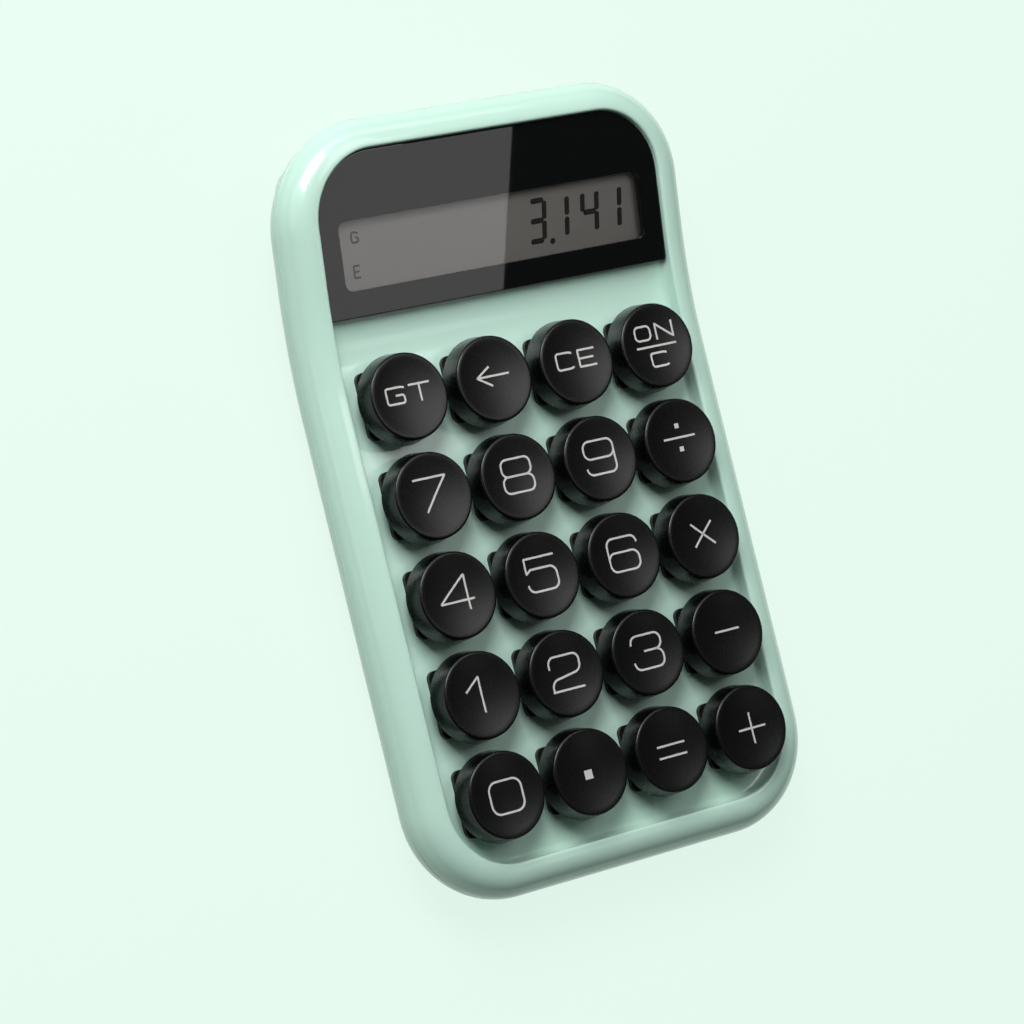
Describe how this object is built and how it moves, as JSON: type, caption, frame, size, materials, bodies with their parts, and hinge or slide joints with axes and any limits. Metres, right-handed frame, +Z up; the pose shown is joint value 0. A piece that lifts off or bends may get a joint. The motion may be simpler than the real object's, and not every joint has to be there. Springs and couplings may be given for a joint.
{
  "type": "desk calculator",
  "caption": "Battery desk calculator with round keycaps on sprung key switches, a rounded two-piece case and a tilted display end with a dark lens over a liquid-crystal panel.",
  "frame": {"origin": "on the table, under the middle of the case", "axes": "+X to the right, +Y from the keys towards the display, +Z up"},
  "size_m": [0.0948, 0.156, 0.0231],
  "materials": {
    "case": "glossy",
    "lens": "glossy",
    "lcd": "satin",
    "dark_plastic": "matte",
    "pale_plastic": "matte",
    "board": "satin",
    "ribbon": "satin",
    "switch": "matte",
    "stem": "matte",
    "keycap": "matte",
    "spring": "satin",
    "pin": "satin",
    "screw": "satin",
    "foot": "matte",
    "cell": "satin",
    "lead": "satin"
  },
  "bodies": {
    "case": {"upper_shell": "case", "lower_shell": "case", "display_lens": "lens", "lcd_panel": "lcd", "lcd_frame": "dark_plastic", "main_board": "board", "controller_chip": "dark_plastic", "ribbon_connector": "pale_plastic", "display_ribbon": "ribbon", "switch_upper_housings": "switch", "switch_lower_housings": "switch", "switch_springs": "spring", "switch_pins": "pin", "board_screws": "screw", "case_screws": "screw", "rubber_feet": "foot", "battery_cell": "cell", "battery_contacts": "spring", "battery_leads": "lead"},
    "door": {"battery_door": "case"},
    "key_gt": {"keycap_gt": "keycap", "stem_gt": "stem"},
    "key_erase": {"keycap_erase": "keycap", "stem_erase": "stem"},
    "key_ce": {"keycap_ce": "keycap", "stem_ce": "stem"},
    "key_on": {"keycap_on": "keycap", "stem_on": "stem"},
    "key_seven": {"keycap_seven": "keycap", "stem_seven": "stem"},
    "key_eight": {"keycap_eight": "keycap", "stem_eight": "stem"},
    "key_nine": {"keycap_nine": "keycap", "stem_nine": "stem"},
    "key_divide": {"keycap_divide": "keycap", "stem_divide": "stem"},
    "key_four": {"keycap_four": "keycap", "stem_four": "stem"},
    "key_five": {"keycap_five": "keycap", "stem_five": "stem"},
    "key_six": {"keycap_six": "keycap", "stem_six": "stem"},
    "key_times": {"keycap_times": "keycap", "stem_times": "stem"},
    "key_one": {"keycap_one": "keycap", "stem_one": "stem"},
    "key_two": {"keycap_two": "keycap", "stem_two": "stem"},
    "key_three": {"keycap_three": "keycap", "stem_three": "stem"},
    "key_minus": {"keycap_minus": "keycap", "stem_minus": "stem"},
    "key_zero": {"keycap_zero": "keycap", "stem_zero": "stem"},
    "key_point": {"keycap_point": "keycap", "stem_point": "stem"},
    "key_equals": {"keycap_equals": "keycap", "stem_equals": "stem"},
    "key_plus": {"keycap_plus": "keycap", "stem_plus": "stem"}
  },
  "joints": [
    {"name": "door_slide", "type": "slide", "parent": "case", "child": "door", "axis": [0, 1, 0], "range_m": [0, 0.016]},
    {"name": "press_gt", "type": "slide", "parent": "case", "child": "key_gt", "axis": [0, 0, -1], "range_m": [0, 0.002], "stiffness_N_per_m": 150, "springref_m": -0.0015, "deforming": ["switch_springs"]},
    {"name": "press_erase", "type": "slide", "parent": "case", "child": "key_erase", "axis": [0, 0, -1], "range_m": [0, 0.002], "stiffness_N_per_m": 150, "springref_m": -0.0015, "deforming": ["switch_springs"]},
    {"name": "press_ce", "type": "slide", "parent": "case", "child": "key_ce", "axis": [0, 0, -1], "range_m": [0, 0.002], "stiffness_N_per_m": 150, "springref_m": -0.0015, "deforming": ["switch_springs"]},
    {"name": "press_on", "type": "slide", "parent": "case", "child": "key_on", "axis": [0, 0, -1], "range_m": [0, 0.002], "stiffness_N_per_m": 150, "springref_m": -0.0015, "deforming": ["switch_springs"]},
    {"name": "press_seven", "type": "slide", "parent": "case", "child": "key_seven", "axis": [0, 0, -1], "range_m": [0, 0.002], "stiffness_N_per_m": 150, "springref_m": -0.0015, "deforming": ["switch_springs"]},
    {"name": "press_eight", "type": "slide", "parent": "case", "child": "key_eight", "axis": [0, 0, -1], "range_m": [0, 0.002], "stiffness_N_per_m": 150, "springref_m": -0.0015, "deforming": ["switch_springs"]},
    {"name": "press_nine", "type": "slide", "parent": "case", "child": "key_nine", "axis": [0, 0, -1], "range_m": [0, 0.002], "stiffness_N_per_m": 150, "springref_m": -0.0015, "deforming": ["switch_springs"]},
    {"name": "press_divide", "type": "slide", "parent": "case", "child": "key_divide", "axis": [0, 0, -1], "range_m": [0, 0.002], "stiffness_N_per_m": 150, "springref_m": -0.0015, "deforming": ["switch_springs"]},
    {"name": "press_four", "type": "slide", "parent": "case", "child": "key_four", "axis": [0, 0, -1], "range_m": [0, 0.002], "stiffness_N_per_m": 150, "springref_m": -0.0015, "deforming": ["switch_springs"]},
    {"name": "press_five", "type": "slide", "parent": "case", "child": "key_five", "axis": [0, 0, -1], "range_m": [0, 0.002], "stiffness_N_per_m": 150, "springref_m": -0.0015, "deforming": ["switch_springs"]},
    {"name": "press_six", "type": "slide", "parent": "case", "child": "key_six", "axis": [0, 0, -1], "range_m": [0, 0.002], "stiffness_N_per_m": 150, "springref_m": -0.0015, "deforming": ["switch_springs"]},
    {"name": "press_times", "type": "slide", "parent": "case", "child": "key_times", "axis": [0, 0, -1], "range_m": [0, 0.002], "stiffness_N_per_m": 150, "springref_m": -0.0015, "deforming": ["switch_springs"]},
    {"name": "press_one", "type": "slide", "parent": "case", "child": "key_one", "axis": [0, 0, -1], "range_m": [0, 0.002], "stiffness_N_per_m": 150, "springref_m": -0.0015, "deforming": ["switch_springs"]},
    {"name": "press_two", "type": "slide", "parent": "case", "child": "key_two", "axis": [0, 0, -1], "range_m": [0, 0.002], "stiffness_N_per_m": 150, "springref_m": -0.0015, "deforming": ["switch_springs"]},
    {"name": "press_three", "type": "slide", "parent": "case", "child": "key_three", "axis": [0, 0, -1], "range_m": [0, 0.002], "stiffness_N_per_m": 150, "springref_m": -0.0015, "deforming": ["switch_springs"]},
    {"name": "press_minus", "type": "slide", "parent": "case", "child": "key_minus", "axis": [0, 0, -1], "range_m": [0, 0.002], "stiffness_N_per_m": 150, "springref_m": -0.0015, "deforming": ["switch_springs"]},
    {"name": "press_zero", "type": "slide", "parent": "case", "child": "key_zero", "axis": [0, 0, -1], "range_m": [0, 0.002], "stiffness_N_per_m": 150, "springref_m": -0.0015, "deforming": ["switch_springs"]},
    {"name": "press_point", "type": "slide", "parent": "case", "child": "key_point", "axis": [0, 0, -1], "range_m": [0, 0.002], "stiffness_N_per_m": 150, "springref_m": -0.0015, "deforming": ["switch_springs"]},
    {"name": "press_equals", "type": "slide", "parent": "case", "child": "key_equals", "axis": [0, 0, -1], "range_m": [0, 0.002], "stiffness_N_per_m": 150, "springref_m": -0.0015, "deforming": ["switch_springs"]},
    {"name": "press_plus", "type": "slide", "parent": "case", "child": "key_plus", "axis": [0, 0, -1], "range_m": [0, 0.002], "stiffness_N_per_m": 150, "springref_m": -0.0015, "deforming": ["switch_springs"]}
  ]
}
